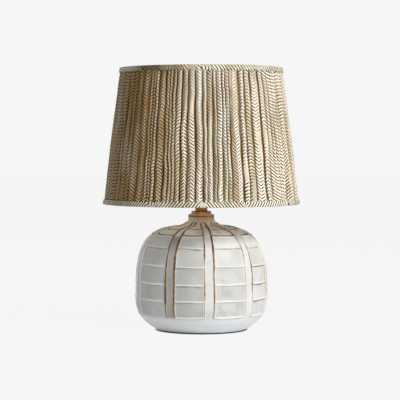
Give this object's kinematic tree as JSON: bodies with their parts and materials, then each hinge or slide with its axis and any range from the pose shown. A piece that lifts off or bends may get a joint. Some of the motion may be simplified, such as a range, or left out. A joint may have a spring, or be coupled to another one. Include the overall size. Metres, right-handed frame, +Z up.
{
  "type": "table lamp",
  "caption": "Table lamp with a ribbed ovoid ceramic base, brass neck, lampholder with candle bulb and gathered herringbone fabric shade.",
  "frame": {"origin": "centre of the underside of the foot", "axes": "+Z up along the lamp's axis, front towards -Y, cord hole towards +Y"},
  "size_m": [0.3628, 0.3628, 0.482],
  "materials": {
    "glaze": "glossy white glaze, brown where it breaks on the ridges",
    "felt": "felt",
    "zinc_steel": "zinc plated",
    "pale_plastic": "moulded",
    "brass": "antique, satin",
    "dark_steel": "blackened",
    "porcelain": "unglazed porcelain",
    "contact_brass": "bright",
    "dark_plastic": "moulded phenolic",
    "frame_wire": "epoxy coated white",
    "lining": "plain cream cotton",
    "cover": "cream cotton with a grey-brown herringbone print",
    "tape": "striped bias tape",
    "opal_glass": "opal",
    "nickel": "nickel plated",
    "black_glass": "glassy"
  },
  "bodies": {
    "base": {"ceramic_body": "glaze", "felt_pad": "felt", "clamp_plate": "zinc_steel", "spring_washer": "zinc_steel", "clamp_nut": "zinc_steel", "threaded_rod": "zinc_steel", "cord_bush": "pale_plastic", "neck_cap": "brass", "neck_collar": "brass", "lampholder_cup": "brass", "cup_screw": "dark_steel", "lampholder_skirt": "brass", "contact_carrier": "porcelain", "screw_shell": "contact_brass", "centre_contact": "contact_brass", "terminals": "contact_brass", "terminal_screws": "zinc_steel", "switch_block": "dark_plastic"},
    "switch": {"switch_bar": "contact_brass"},
    "shade_seat": {"shade_washer": "brass"},
    "shade": {"fitter": "frame_wire", "shade_top_ring": "frame_wire", "shade_bottom_ring": "frame_wire", "shade_struts": "frame_wire", "shade_lining": "lining", "shade_cover": "cover", "top_binding": "tape", "bottom_binding": "tape"},
    "ring": {"shade_ring": "brass"},
    "bulb": {"bulb_glass": "opal_glass", "bulb_cap": "nickel", "bulb_insulator": "black_glass", "bulb_contact": "nickel"}
  },
  "joints": [
    {"name": "switch_push", "type": "slide", "parent": "base", "child": "switch", "axis": [1, 0, 0], "range_m": [0, 0.006]},
    {"name": "shade_lift", "type": "slide", "parent": "base", "child": "shade_seat", "axis": [0, 0, 1], "range_m": [0, 0.12]},
    {"name": "shade_turn", "type": "hinge", "parent": "shade_seat", "child": "shade", "pos_m": [0, 0, 0.27], "axis": [0, 0, 1], "continuous": true},
    {"name": "ring_turn", "type": "hinge", "parent": "shade_seat", "child": "ring", "pos_m": [0, 0, 0.274], "axis": [0, 0, 1], "continuous": true},
    {"name": "bulb_lift", "type": "slide", "parent": "base", "child": "bulb", "axis": [0, 0, 1], "range_m": [0, 0.06]}
  ]
}
